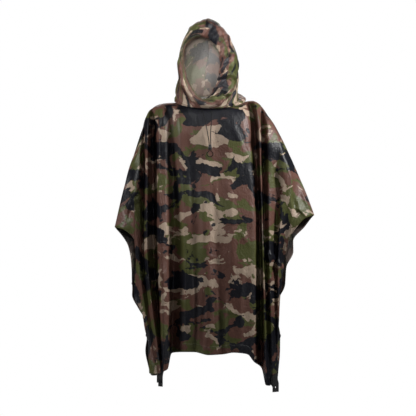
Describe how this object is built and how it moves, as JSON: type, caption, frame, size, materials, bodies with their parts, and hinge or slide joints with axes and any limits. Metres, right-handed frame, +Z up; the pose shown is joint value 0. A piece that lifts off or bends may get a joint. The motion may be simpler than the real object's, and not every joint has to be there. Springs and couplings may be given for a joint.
{
  "type": "rain poncho",
  "caption": "Hooded rain poncho in woodland camouflage, hanging as worn: draped front and back panels, gathered drawcord hood, press studs down the open sides, eyelet patches at the corners.",
  "frame": {"origin": "between the collar bones at the height of the shoulder seam, where the wearer's neck and shoulders carry the cloth", "axes": "+Z up, -Y to the front of the garment, +X to the viewer's right, which is the wearer's left"},
  "size_m": [0.846, 0.3184, 1.575],
  "materials": {
    "camouflage_cloth": "thin coated polyester, slightly glossy, in four-colour woodland camouflage",
    "tab_webbing": "black woven patch",
    "drawcord": "black braid",
    "cord_lock": "matte black moulding",
    "blackened_metal": "satin black over brass"
  },
  "bodies": {
    "root": {"front_panel": "camouflage_cloth", "back_panel": "camouflage_cloth", "hood_left": "camouflage_cloth", "hood_right": "camouflage_cloth", "hood_brim": "camouflage_cloth", "cord_eyelet_left": "blackened_metal", "cord_eyelet_right": "blackened_metal", "drawcord_left": "drawcord", "drawcord_right": "drawcord", "drawcord_loop": "drawcord", "cord_lock": "cord_lock", "tab_front_left": "tab_webbing", "tab_front_right": "tab_webbing", "tab_back_left": "tab_webbing", "tab_back_right": "tab_webbing", "eyelet_front_left": "blackened_metal", "eyelet_front_right": "blackened_metal", "eyelet_back_left": "blackened_metal", "eyelet_back_right": "blackened_metal", "stud_front_left_1": "blackened_metal", "stud_front_left_2": "blackened_metal", "stud_front_left_3": "blackened_metal", "stud_front_left_4": "blackened_metal", "stud_front_right_1": "blackened_metal", "stud_front_right_2": "blackened_metal", "stud_front_right_3": "blackened_metal", "stud_front_right_4": "blackened_metal", "stud_back_left_1": "blackened_metal", "stud_back_left_2": "blackened_metal", "stud_back_left_3": "blackened_metal", "stud_back_left_4": "blackened_metal", "stud_back_right_1": "blackened_metal", "stud_back_right_2": "blackened_metal", "stud_back_right_3": "blackened_metal", "stud_back_right_4": "blackened_metal"}
  },
  "joints": []
}
